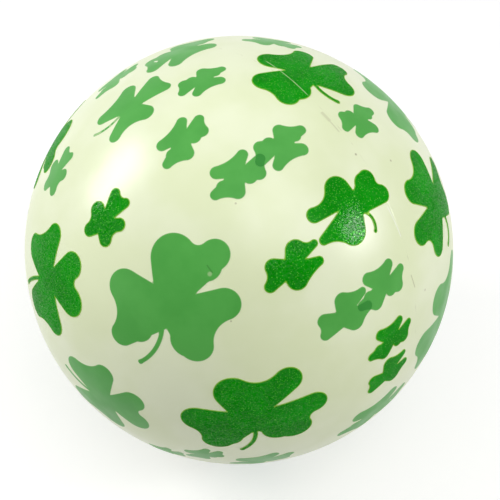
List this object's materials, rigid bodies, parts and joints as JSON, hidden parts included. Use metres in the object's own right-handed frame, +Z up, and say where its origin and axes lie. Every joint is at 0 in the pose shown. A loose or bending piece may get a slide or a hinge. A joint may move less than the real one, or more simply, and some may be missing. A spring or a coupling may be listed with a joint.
{
  "type": "play ball",
  "caption": "Hollow moulded vinyl play ball with a scattered two-tone shamrock print, a valve seat glued into an inner boss and a push-in plug that pulls out for inflating.",
  "frame": {"origin": "centre of the ball", "axes": "+Z up; the printed face looks forwards (-Y) and 45 degrees up, which is where the picture is taken from; the valve is on the hidden side, towards +X and +Y"},
  "size_m": [0.23, 0.2306, 0.2302],
  "materials": {
    "vinyl": "glossy cream vinyl",
    "seat_plastic": "satin milky plastic",
    "plug_plastic": "satin white plastic",
    "dark_ink": "dark green ink with fine glitter",
    "light_ink": "satin light green ink"
  },
  "bodies": {
    "ball": {"ball_shell": "vinyl", "valve_seat": "seat_plastic", "dark_print": "dark_ink", "light_print": "light_ink"},
    "plug": {"valve_plug": "plug_plastic"}
  },
  "joints": [
    {"name": "plug_pull", "type": "slide", "parent": "ball", "child": "plug", "axis": [0.6683, 0.7306, -0.1401], "range_m": [0, 0.015]}
  ]
}
